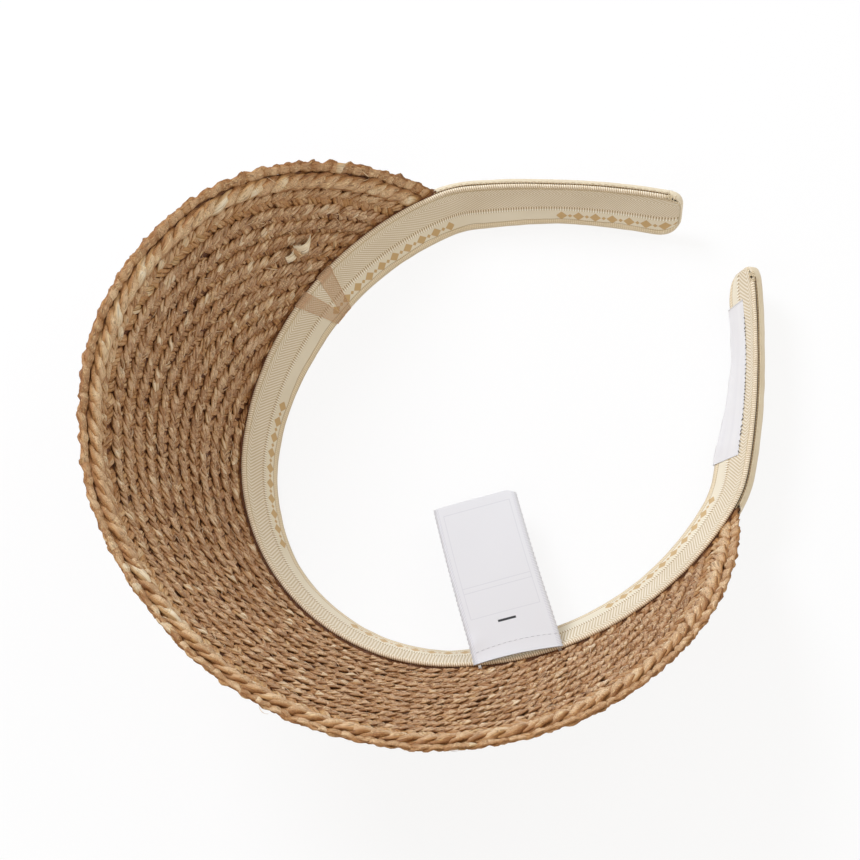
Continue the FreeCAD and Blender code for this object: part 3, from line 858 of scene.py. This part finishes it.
def make_tape():
    """Woven tape against the head, with a slightly wavy crown edge."""
    piece = Patches(31)
    half_length = HALF_LENGTH - TAPE_INSET
    length = band_lengths(half_length, 1.2)
    angle = angle_at(length)
    wave = 0.45 * piece.drift(length, 11.0)
    wave = wave + 0.2 * piece.drift(length, 4.0)
    ripple = wave * np.clip(1 - np.abs(angle) / 80, 0, 1)
    free_end = np.clip((np.abs(length) - PIPING_END - 1.0) / 2.5, 0, 1)
    top = -1.55 - tip_shrink(length, half_length, TIP_ROUNDING - TAPE_INSET) + 1.2 * free_end
    low = -19.85 + tip_shrink(length, half_length, CROWN_ROUNDING - TAPE_INSET) + 0.4 * ripple
    section = [(share, -0.02 - 0.12 * math.sin(math.pi * share)) for share in np.linspace(0, 1, 22)]
    section += [(1.0, 0.25), (0.99, 0.6), (0.75, 0.72), (0.5, 0.75), (0.25, 0.72), (0.01, 0.6),
                (0.0, 0.25)]
    points = []
    for share, across in section:
        bow = 0.35 * ripple * share ** 3 - 0.35 * free_end * math.sin(math.pi * share)
        across = across + bow + 0.03 * piece.drift(length, 6.0)
        points.append(band_point(angle, across, top + (low - top) * share))
    places = [1.6 + 18.3 * share for share, _ in section + section[:1]]
    piece.loft(points, length, places)
    tape = piece.build("woven_tape", "twill_tape", "sweatband_tape")


def make_piping():
    """Cord wound with thread along the tape's upper edge; its ends dip in and are sewn fast."""
    piece = Patches(62)
    pitch = 0.8
    length = np.arange(-PIPING_END, PIPING_END, pitch / 7)
    turn = 2 * math.pi * np.arange(12) / 12
    ribs = 0.5 + 0.5 * np.cos(2 * math.pi * column(length) / pitch + turn * 0.8)
    near_end = column(np.clip((np.abs(length) - PIPING_END + 2.5) / 2.5, 0, 1))
    radius = (0.72 + 0.1 * ribs) * (1 - 0.35 * near_end ** 2)
    across = 0.3 + 0.9 * near_end ** 2 + radius * np.cos(turn)
    sway = column(0.12 * piece.drift(length, 9.0))
    up = sway - 0.78 - 0.3 * near_end + radius * np.sin(turn)
    # the ribs go in as the shade attribute, so the grooves between the windings take painted shade
    piece.grid(band_point(column(angle_at(length)), across, up), length, np.arange(13) * 0.4, 0.5,
               ribs)
    piece.build("ribbed_cord", "ribbed_piping", "sweatband_piping")


def make_end_stitches():
    """Hand stitches over each end of the piping, where cover and tape are drawn together."""
    piece = Patches(61)
    run = np.linspace(-1, 1, 12)
    bow = np.cos(0.5 * math.pi * run)
    for side in (-1, 1):
        for _ in range(9):
            place = PIPING_END + piece.rng.uniform(-1.6, 1.2)
            angle = angle_at(side * (place + 0.7 * piece.rng.uniform(-0.8, 0.8) * run))
            line = band_point(angle, 0.35 + 0.5 * run - 0.8 * bow, -0.8 + 0.95 * run)
            piece.thread(line, 0.17, shade=piece.rng.uniform(0.7, 1.0))
    piece.build("end_stitches", "cotton_thread", slot="cover_cloth")


def make_seam():
    """The brim's crushed edge between the piping and the cover, filling the gap there, painted deep
    brown as shade in the seam.
    """
    piece = Patches(63)
    angle = np.linspace(-BRIM_END, BRIM_END, 500)
    rough = 0.25 * piece.drift(angle, 0.8)
    section = ((1.0, -1.2), (1.25, -0.4), (2.2, -0.1), (3.2, -0.45), (3.4, -1.2), (2.2, -1.4))
    points = [band_point(angle, across, up + rough) for across, up in section]
    # tone 0.2 and shade 0.3: painted shade in the seam
    piece.loft(points, angle * 2.0, np.arange(7), 0.2, 0.3)
    piece.build("crushed_edge", "raffia_dark")


# sections of the cover, as distance in from the outline and across; the last rings differ by edge
COVER_SECTION = (
    (7.0, 4.4), (4.0, 4.4), (2.2, 4.4), (1.2, 4.38), (0.6, 4.25), (0.2, 3.95), (0.02, 3.5))
ARM_EDGE = ((0.0, 2.8), (0.0, 2.2), (0.08, 1.75), (0.35, 1.6), (0.9, 1.6))
CROWN_EDGE = ((0.0, 2.3), (0.0, 1.2), (0.06, 0.55), (0.3, 0.2), (0.75, 0.35))
BRIM_EDGE = ((0.1, 3.62), (0.3, 3.5), (0.6, 3.5), (0.9, 3.55), (1.3, 3.6))
TIP_PUFF = 0.7


def cover_outline():
    """The cover's outline laid flat: along the top, round a tip, along the crown edge and back.

    Each place has a length along the band, a height and the outward direction there.
    """
    top_end = HALF_LENGTH - TIP_ROUNDING
    crown_end = HALF_LENGTH - CROWN_ROUNDING
    places = [(s, 0.0, 0.0, 1.0) for s in np.arange(-top_end, top_end, 1.6)]
    for side, radii in ((1, (TIP_ROUNDING, CROWN_ROUNDING)), (-1, (CROWN_ROUNDING, TIP_ROUNDING))):
        for number, radius in enumerate(radii):
            height = -radius if radius == TIP_ROUNDING else radius - BAND_HEIGHT
            for turn in np.linspace(0, math.pi / 2, 10):
                way = side * (math.pi / 2) - number * math.pi / 2 - turn
                out_s, out_up = math.cos(way), math.sin(way)
                places.append((side * (HALF_LENGTH - radius) + radius * out_s,
                               height + radius * out_up, out_s, out_up))
        if side > 0:
            places += [(s, -BAND_HEIGHT, 0.0, -1.0) for s in np.arange(crown_end, -crown_end, -1.6)]
    return np.array(places)


def cover_rings(length, up, out_s, out_up):
    """Rings of the cover, from its middle out and over the edge: length, height and across."""
    middle = BAND_HEIGHT / 2
    inner_s = np.clip(length, middle - HALF_LENGTH, HALF_LENGTH - middle)
    rings = [(inner_s, np.full_like(up, -middle), BAND_THICKNESS)]
    rings += [(length - out_s * inset, up - out_up * inset, across)
              for inset, across in COVER_SECTION]
    # where the first ring would pass the middle, it stays halfway
    s, height, across = rings[1]
    close = COVER_SECTION[0][0] > middle - np.abs(height + middle)
    rings[1] = (np.where(close, (s + inner_s) / 2, s),
                np.where(close, (height - middle) / 2, height), across)
    top = out_up > 0.99
    at_brim = top & (np.abs(angle_at(length)) < BRIM_END + 0.6)
    edge = np.where(at_brim, 2, np.where(top, 0, 1))
    for kinds in zip(ARM_EDGE, CROWN_EDGE, BRIM_EDGE):
        inset, across = np.array(kinds)[edge].T
        rings.append((length - out_s * inset, up - out_up * inset, across))
    return rings


def make_cover():
    """Cloth cover round the band: a wide face outside, turned over every edge of the band."""
    piece = Patches(41)
    outline = cover_outline()
    length, _, out_s, _ = outline.T
    pucker = piece.drift(np.arange(len(length), dtype=float), 2.5)
    rings = cover_rings(*outline.T)
    points = []
    for number, (s, height, across) in enumerate(rings):
        near_tip = np.clip((np.abs(s) - HALF_LENGTH + 16.0) / 16.0, 0, 1)
        bulge = 0.10 * pucker * (number > 2)
        bulge += 0.10 * np.sin(s * 0.9 + 0.6 * height) * np.sin(s * 0.37 + 1.3) * (number < 5)
        puff = TIP_PUFF * near_tip * np.sin(math.pi * np.clip(-height / BAND_HEIGHT, 0, 1))
        bulge += puff * (number < 7)
        lobes = 0.35 * np.abs(out_s) * np.sin(0.55 * height + 0.6) * (number > 1)
        points.append(band_point(angle_at(s + lobes * np.sign(s)), across + bulge, height))
    grid = np.stack(points, axis=1)
    around = lengths_along(np.array([(s[0], height[0]) for s, height, _ in rings]))
    piece.grid(np.concatenate([grid, grid[:1]]), np.append(length, length[0]), around, solid=False)
    cover = piece.build("cloth_cover", "cover_cloth", "outer_cover")


def make_core():
    """The flexible strip inside the band."""
    half_length = HALF_LENGTH - CORE_INSET
    length = band_lengths(half_length, 1.6)
    top = -2.4 - tip_shrink(length, half_length, TIP_ROUNDING - 1.0)
    low = -19.2 + tip_shrink(length, half_length, CROWN_ROUNDING - 1.0)
    section = ((0.0, 2.75), (0.02, 2.62), (0.98, 2.62), (1.0, 2.75), (1.0, 3.4), (0.98, 3.55),
               (0.02, 3.55), (0.0, 3.4))
    points = [band_point(angle_at(length), across, top + (low - top) * share)
              for share, across in section]
    piece = Patches()
    piece.loft(points, length, np.arange(9) * 4.0)
    piece.build("stiff_strip", "stiff_core", "band_core")


def make_stitches():
    """Sewing threads: along the arms beside the piping, and round the crown edge."""
    piece = Patches()
    pitch = 2.4
    bow = 0.08 * np.sin(np.linspace(0, math.pi, 6))
    for side in (-1, 1):
        for place in np.arange(ARC_LENGTHS[2] + 1, HALF_LENGTH - 6, pitch):
            angle = angle_at(side * np.linspace(place, place + 0.7 * pitch, 6))
            piece.thread(band_point(angle, 2.1, 0.02 + bow), 0.11)
    for place in np.arange(-HALF_LENGTH + 8, HALF_LENGTH - 8, 3.0):
        angle = angle_at(np.linspace(place, place + 2.0, 6))
        piece.thread(band_point(angle, 4.42 + bow, -18.4), 0.13)
    piece.build("seam_stitches", "cotton_thread", slot="cover_cloth")

    thread = Patches()
    for side in (-1, 1):
        length = side * np.arange(ARC_LENGTHS[2] - 1, PIPING_END, 0.28)
        line = band_point(angle_at(length), 1.38, -0.2)
        thread.thread(line, 0.26, shade=column(0.55 + 0.45 * np.sin(5.7 * length)), facets=6)
    thread.build("seam_thread", "brown_thread", slot="cover_cloth")


# ---------------------------------------------------------------- ribbon, labels and tacks

RIBBON_HALF = math.degrees(3.2 / RADII[1])
# the ribbon's way over piping and tape and round the crown edge
RIBBON_HEIGHTS = np.array([0.25, 0.1, -0.75, -1.6, -3.0, -8.0, -14.0, -19.9, -20.6, -20.85])
RIBBON_LIFTS = np.array([0.9, -0.3, -0.68, -0.5, -0.26, -0.26, -0.26, -0.26, 0.2, 1.2])


def make_ribbon():
    """Sheer ribbon of open gauze: two legs over piping and tape that meet at the crown edge."""
    piece = Patches()
    last = len(RIBBON_HEIGHTS) - 1

    def leg_point(leg, place, spread):
        """Point of a leg, by place down it and share of its half width."""
        up = np.interp(place, range(last + 1), RIBBON_HEIGHTS)
        across = np.interp(place, range(last + 1), RIBBON_LIFTS) - 0.12 * (leg > 0)
        fall = np.clip(-up / BAND_HEIGHT, 0, 1)
        middle = (-79.1 + leg * 6.5) * (1 - fall) + (-80.1 + leg * 1.9) * fall
        return band_point(middle + spread * RIBBON_HALF * (1 - 0.3 * fall), across, up)

    for leg in (-0.5, 0.5):
        for spread in np.linspace(-1, 1, 17):
            radius = 0.04 if abs(spread) < 0.99 else 0.1
            piece.thread(leg_point(leg, np.linspace(0, last, 60), spread), radius)
        for place in np.linspace(0, last - 0.01, 70):
            piece.thread(leg_point(leg, np.full(6, place), np.linspace(-1, 1, 6)), 0.036)
    piece.build("gauze", "gauze_ribbon", "sheer_ribbon")


def sheet_grid(piece, middle, along, across, thickness, face):
    """A sheet as a thin closed slab: its front, then its back, joined round the edge."""
    front = middle + face * (thickness / 2)
    back = (middle - face * (thickness / 2))[:, ::-1]
    places = np.concatenate([across, across[::-1], across[:1]])
    piece.grid(np.concatenate([front, back], axis=1), along, places)


SIZE_LABEL_START = ARC_LENGTHS[3] + 6.6
SIZE_LABEL_LENGTH = 60.0
SIZE_LABEL_DEPTH = 6.4  # how far down its upper edge starts, and how much it slips down on the way
SIZE_LABEL_SLIP = 2.6


def make_size_label():
    """Woven label laid on the tape in the arm and a little round its crown edge, whip-stitched."""
    piece = Patches(51)
    share = column(np.linspace(0, 1, 60))
    length = SIZE_LABEL_START + SIZE_LABEL_LENGTH * share
    down = np.linspace(0.0, 15.0, 24)
    depth = SIZE_LABEL_DEPTH + SIZE_LABEL_SLIP * share + down
    wrap = np.clip(depth - BAND_HEIGHT - 0.1, 0, None)
    angle = angle_at(length - 0.13 * (1 - share) * down)
    edge = np.abs(np.linspace(-1, 1, len(down))) ** 6
    lift = 0.34 - 0.12 * edge + 0.1 * column(piece.drift(length[:, 0], 7.0)) * (1 - edge)
    points = band_point(angle, wrap - lift, wrap - depth - 0.25 * (wrap > 0))
    sheet_grid(piece, points, length[:, 0], down, 0.16, -tilted(angle, -LEAN)[0])
    label = piece.build("arm_label", "white_satin", "size_label")

    threads = Patches()
    draw = piece.rng.uniform
    run = np.linspace(-1, 1, 7)
    bow = np.cos(0.5 * math.pi * run)
    for place in np.cumsum(draw(1.1, 2.6, 30)):
        if place > SIZE_LABEL_LENGTH - 1.0:
            break
        here = SIZE_LABEL_DEPTH + SIZE_LABEL_SLIP * place / SIZE_LABEL_LENGTH
        angle = angle_at(SIZE_LABEL_START + place + draw(-0.5, 0.5) * run)
        line = band_point(angle, -0.12 - 0.34 * bow, 0.15 - here - draw(0.3, 0.6) * run)
        threads.thread(line, 0.14)
    threads.build("arm_label_stitches", "dark_thread", slot="white_thread")


LABEL_ANGLE = 60.3
SWING_SKEW = 2.6  # of the solids' swing line, from square to the band
LABEL_SKEW = 3.5
LABEL_DROOP = math.radians(9.5)
LABEL_CLEARANCE = 2.8
HINGE = edge_point(LABEL_ANGLE) - LABEL_CLEARANCE * heading(LABEL_ANGLE + SWING_SKEW)
LABEL_OUT = heading(LABEL_ANGLE + LABEL_SKEW)
LABEL_ALONG = -LABEL_OUT * math.cos(LABEL_DROOP) - UP * math.sin(LABEL_DROOP)
LABEL_SIDE = np.cross(LABEL_OUT, UP)
LABEL_FACE = unit(np.cross(LABEL_ALONG, LABEL_SIDE))


def label_height(along, across):
    """Rise of the folded label's middle surface: arched at the sewn end, then easing flat."""
    sewn = np.exp(-(along + LABEL_LAP) / 9.0)
    arch = sewn * (0.35 + 0.9 * np.cos(np.clip(across / LABEL_WIDTH, -0.5, 0.5) * math.pi))
    curl = 0.4 * np.exp(-((along - 6.0) / 3.0) ** 2) * np.exp(-((across - 12.5) / 2.5) ** 2)
    wave = 0.12 * np.sin(along * 0.11 + 0.5) * np.sin(across * 0.16 + 0.3)
    return arch + curl + wave


def label_point(along, across, lift):
    """A point of the label: its sewn edge is drawn back in the middle, its far corners curl."""
    rise = label_height(along, across) + lift
    sewn = np.exp(-(along + LABEL_LAP) / 6.0)
    middle = np.cos(np.clip(across / LABEL_WIDTH, -0.5, 0.5) * math.pi)
    folded = np.clip((along - LABEL_LENGTH + 8.0) / 6.5, 0, 1)
    corner = np.clip((np.abs(across) - 11.0) / 4.0, 0, 1) ** 2 * np.where(across < 0, 2.0, 0.4)
    back = sewn * (0.5 * middle + 1.0 + 1.75 * across / LABEL_WIDTH) - folded * corner
    bowed = 0.45 * sewn + 0.45 * np.sin(math.pi * along / LABEL_LENGTH)
    across = across * (1.04 - 0.045 * along / LABEL_LENGTH) + bowed
    return HINGE + column(along + back) * LABEL_ALONG + column(across) * LABEL_SIDE \
        + column(rise) * LABEL_FACE


def hang_at_sewn_edge(piece):
    """Bake the piece's placement into its mesh; it rides on no body."""
    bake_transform(piece)


def make_care_label():
    """Satin label folded double, with serrated selvedges, sewn in at one end."""
    ply, loft = 0.1, 0.36
    fold_start = LABEL_LENGTH - 1.9
    fold = np.linspace(-math.pi / 2, math.pi / 2, 9)[1:-1]
    flat = np.linspace(-LABEL_LAP, fold_start, 66)
    along = np.concatenate([flat, fold_start + 0.4 * np.cos(fold), flat[::-1]])
    lift = loft / 2 * np.concatenate([np.full(66, -1.0), np.sin(fold), np.full(66, 1.0)])
    across = np.linspace(-LABEL_WIDTH / 2, LABEL_WIDTH / 2, 26)
    teeth = 0.12 * np.where(np.arange(len(along)) % 2, 1.0, -1.0)
    rounded = 1 - 0.05 * np.clip((along - LABEL_LENGTH + 2.5) / 2.5, 0, 1) ** 2
    spread = across * column(rounded)
    spread[:, 0] += teeth
    spread[:, -1] -= teeth
    points = label_point(column(along), spread, column(lift))
    slope = unit(np.cross(np.gradient(points, axis=1), np.gradient(points, axis=0)))
    piece = Patches()
    cloth_run = lengths_along(np.column_stack([along, lift]))
    sheet_grid(piece, points, cloth_run, across + LABEL_WIDTH / 2, ply, slope)
    label = piece.build("satin_label", "label_satin", "care_label", slot="white_satin", body=None)
    hang_at_sewn_edge(label)

    threads = Patches()
    bow = 0.07 * np.sin(np.linspace(0, math.pi, 6))
    for place in np.arange(-14.2, 14.2, 1.9):
        run = np.linspace(place, place + 1.0, 6)
        threads.thread(label_point(1.6 + 1.2 * (1 - (run / 15) ** 2), run, loft / 2 + 0.05 + bow),
                       0.1)
    hang_at_sewn_edge(threads.build("label_stitches", "grey_thread", slot="white_thread",
                                    body=None))


def smooth_line(points, samples):
    """A smooth line through a few points, as Catmull-Rom pieces."""
    points = np.asarray(points, float)
    ends = np.concatenate([[2 * points[0] - points[1]], points, [2 * points[-1] - points[-2]]])
    place = np.linspace(0, len(points) - 1 - 1e-6, samples)
    number = place.astype(int)
    t = column(place - number)
    a, b, c, d = (ends[number + k] for k in range(4))
    return 0.5 * (2 * b + (c - a) * t + (2 * a - 5 * b + 4 * c - d) * t ** 2
                  + (3 * b - a - 3 * c + d) * t ** 3)


def make_tacks():
    """Thread tacks at the label's sewn corners: a few loops from the label over the piping."""
    piece = Patches()
    for side in (-1, 1):
        for number in range(4):
            spread = side * (LABEL_WIDTH / 2 - 0.9) + 0.24 * (number - 1.5)
            start = HINGE + LABEL_SIDE * spread + LABEL_OUT * 1.9 + UP * 0.7
            points = [start, start + LABEL_OUT * 0.6 + UP * (0.12 + 0.05 * number),
                      start + LABEL_OUT * 1.5 - UP * 0.3 + LABEL_SIDE * 0.25 * (number % 2),
                      start + LABEL_OUT * 2.1 - UP * 1.2]
            piece.thread(smooth_line(points, 14), 0.12, facets=6)
    piece.build("corner_threads", "white_thread", "care_label_tacks")


# ---------------------------------------------------------------- camera, light and floor

CAMERA_PLACE = (0.2162, -0.13972, 0.88309)
CAMERA_RIGHT = Vector((0.6565, 0.7523, -0.0556)).normalized()
CAMERA_AHEAD = Vector((-0.2536, 0.1507, -0.9555)).normalized()
CAMERA_LENS = 107.0
LAMP_AIM = Vector((0.0, 0.0, 0.03))
SURROUND = (0.572, 0.535, 0.492, 1.0)
FLOOR_HEIGHT = -0.0017
FLOOR_HALF = 3.0
FLOOR_GLOW = 0.86  # share of plain white that the camera sees in it


def make_camera():
    data = bpy.data.cameras.new("camera")
    data.lens = CAMERA_LENS
    data.sensor_width = 36.0
    data.clip_start = 0.01
    camera = bpy.data.objects.new("camera", data)
    bpy.context.collection.objects.link(camera)
    up = CAMERA_RIGHT.cross(CAMERA_AHEAD)
    turn = Matrix((CAMERA_RIGHT, up, -CAMERA_AHEAD)).transposed().to_4x4()
    camera.matrix_world = Matrix.Translation(CAMERA_PLACE) @ turn
    bpy.context.scene.camera = camera


def area_light(name, place, size, power, tint=(1.0, 1.0, 1.0)):
    """A round lamp that looks at the middle of the visor."""
    data = bpy.data.lights.new(name, "AREA")
    data.color = tint
    data.shape = "DISK"
    data.size = size
    data.energy = power
    light = bpy.data.objects.new(name, data)
    bpy.context.collection.objects.link(light)
    light.location = place
    light.rotation_euler = (LAMP_AIM - Vector(place)).to_track_quat("-Z", "Y").to_euler()


def seen_ray(tree):
    """1 for rays of the camera and for those that gloss and glass show, 0 for the rest."""
    path = tree.nodes.new("ShaderNodeLightPath")
    seen = path.outputs["Is Camera Ray"]
    for name in ("Is Glossy Ray", "Is Transmission Ray"):
        most = new_node(tree, "ShaderNodeMath", operation="MAXIMUM")
        tree.links.new(seen, most.inputs[0])
        tree.links.new(path.outputs[name], most.inputs[1])
        seen = most.outputs[0]
    return seen


def make_light():
    world = bpy.data.worlds.new("studio")
    world.use_nodes = True
    tree = world.node_tree
    surround = new_node(tree, "ShaderNodeMix", data_type="RGBA",
                        inputs={6: SURROUND, 7: (1.0, 1.0, 1.0, 1.0)})
    tree.links.new(seen_ray(tree), surround.inputs[0])
    tree.links.new(surround.outputs[2], tree.nodes["Background"].inputs["Color"])
    bpy.context.scene.world = world
    area_light("key", (-1.0, 0.0, 1.0), 0.6, 11.2, tint=(0.92, 0.98, 1.12))
    area_light("fill", (0.2, 0.9, 0.95), 0.8, 2.2)
    area_light("back", (0.2, -0.9, 0.95), 0.8, 1.8)


def make_floor():
    """Pale studio floor: white to the camera, still taking the visor's soft shadow."""
    mesh = bpy.data.meshes.new("floor")
    corners = [(x * FLOOR_HALF, y * FLOOR_HALF, 0.0) for x, y in ((-1, -1), (1, -1), (1, 1), (-1, 1))]
    mesh.from_pydata(corners, [], [(0, 1, 2, 3)])
    floor = bpy.data.objects.new("floor", mesh)
    floor.location = (0, 0, FLOOR_HEIGHT)
    bpy.context.collection.objects.link(floor)
    material = bpy.data.materials.new("floor")
    material.use_nodes = True
    tree = material.node_tree
    shader = tree.nodes["Principled BSDF"]
    shader.inputs["Base Color"].default_value = (0.92, 0.92, 0.92, 1.0)
    shader.inputs["Roughness"].default_value = 0.9
    share = new_node(tree, "ShaderNodeMath", operation="MULTIPLY", inputs={1: FLOOR_GLOW})
    mix = new_node(tree, "ShaderNodeMixShader")
    tree.links.new(seen_ray(tree), share.inputs[0])
    tree.links.new(share.outputs[0], mix.inputs["Fac"])
    tree.links.new(shader.outputs[0], mix.inputs[1])
    tree.links.new(tree.nodes.new("ShaderNodeEmission").outputs[0], mix.inputs[2])
    tree.links.new(mix.outputs[0], tree.nodes["Material Output"].inputs["Surface"])
    mesh.materials.append(material)


for make in (make_camera, make_light, make_floor, make_rim, make_rows, make_knot, make_core,
             make_tape, make_piping, make_end_stitches, make_seam, make_cover, make_stitches,
             make_ribbon, make_size_label, make_care_label, make_tacks):
    make()

bpy.context.scene.view_settings.view_transform = "Standard"
